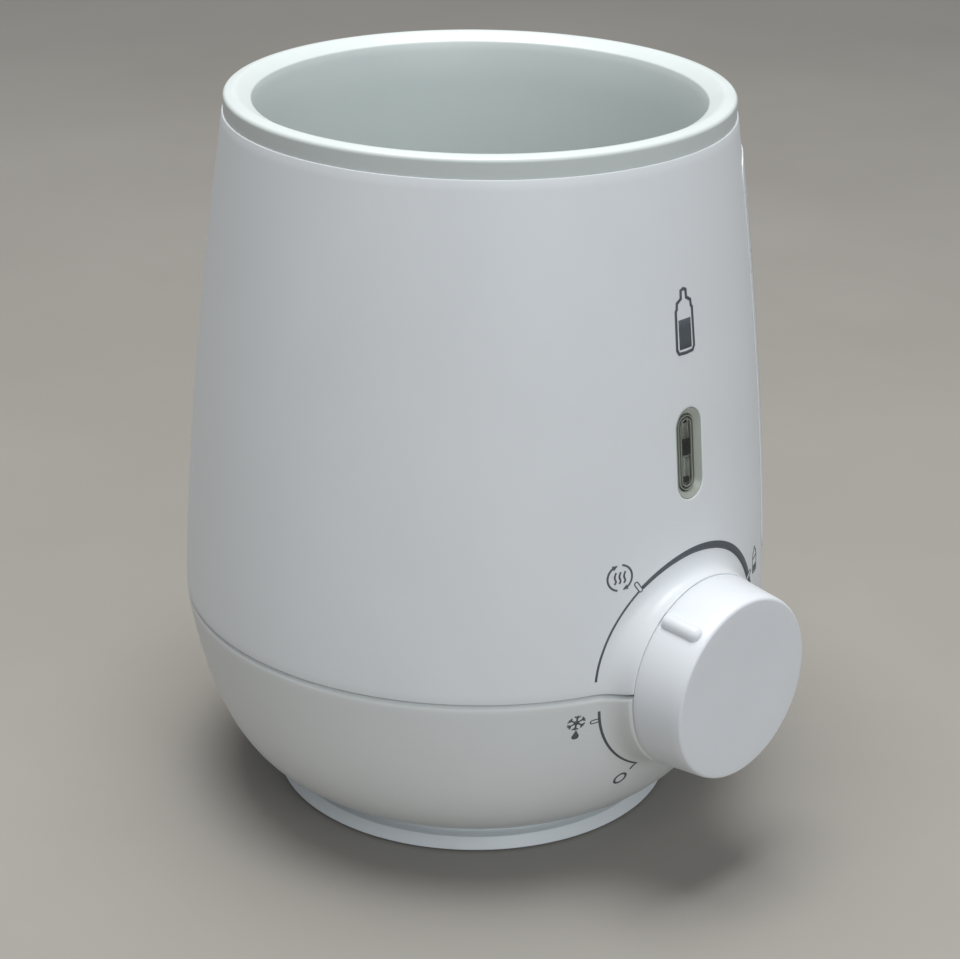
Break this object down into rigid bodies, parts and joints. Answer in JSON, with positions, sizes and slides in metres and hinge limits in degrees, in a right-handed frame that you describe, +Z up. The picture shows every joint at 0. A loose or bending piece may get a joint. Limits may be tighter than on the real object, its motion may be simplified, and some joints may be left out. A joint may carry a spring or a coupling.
{
  "type": "bottle warmer",
  "caption": "Electric baby bottle warmer: tapered two-part housing round a heated water well, with a front rotary knob and an indicator window.",
  "frame": {"origin": "on the axis of the round body, on the plane that the rubber foot ring stands on", "axes": "+Z up along the body's axis; the control knob faces -Y, so +X is to the right of someone who faces the knob"},
  "size_m": [0.1396, 0.1547, 0.171],
  "materials": {
    "white_shell": "satin moulded polypropylene, very fine texture",
    "lower_shell": "satin moulded polypropylene, very fine texture",
    "base_white": "satin moulded plastic",
    "knob_white": "satin moulded plastic",
    "well_grey": "satin grey-green moulded plastic",
    "plate_coating": "baked non-stick coating on cast aluminium",
    "heater_metal": "bare sheathed heater tube",
    "steel": "zinc-plated steel",
    "brass": "machined brass",
    "rubber": "matt soft rubber",
    "silicone": "food-safe silicone",
    "board_green": "solder-mask circuit board",
    "component_dark": "moulded component bodies",
    "switch_dark": "moulded switch body",
    "sensor_dark": "moulded sensor body",
    "shaft_nylon": "moulded nylon",
    "lens_clear": "clear polycarbonate with stepped contours",
    "tube_grey": "dark grey light guide tube",
    "led_white": "clear epoxy",
    "terminal_white": "moulded nylon terminal block",
    "gland_grey": "grey cable gland",
    "lead_brown": "silicone insulated lead",
    "lead_natural": "braided glass sleeve lead",
    "label_film": null
  },
  "bodies": {
    "body": {"upper_housing": "white_shell", "lower_housing": "lower_shell", "base_plate": "base_white", "foot_ring": "rubber", "base_screws": "steel", "housing_screws": "steel", "water_well": "well_grey", "plate_seal": "silicone", "heating_plate": "plate_coating", "heater_element": "heater_metal", "heater_bracket": "steel", "bracket_screws": "steel", "thermal_fuse": "sensor_dark", "temperature_sensor": "sensor_dark", "sensor_strap": "steel", "control_board": "board_green", "board_components": "component_dark", "board_screws": "steel", "rotary_switch": "switch_dark", "switch_nut": "steel", "indicator_lens": "lens_clear", "light_tube": "tube_grey", "indicator_leds": "led_white", "terminal_block": "terminal_white", "cord_gland": "gland_grey", "supply_leads": "lead_brown", "heater_leads": "lead_natural", "guide_label": "label_film"},
    "knob": {"knob_cap": "knob_white", "knob_insert": "brass", "knob_spring": "steel", "switch_shaft": "shaft_nylon"}
  },
  "joints": [
    {"name": "knob_turn", "type": "hinge", "parent": "body", "child": "knob", "pos_m": [0, -0.0786, 0.0505], "axis": [0, -1, 0], "range_deg": [-168.9, 116.1]}
  ]
}
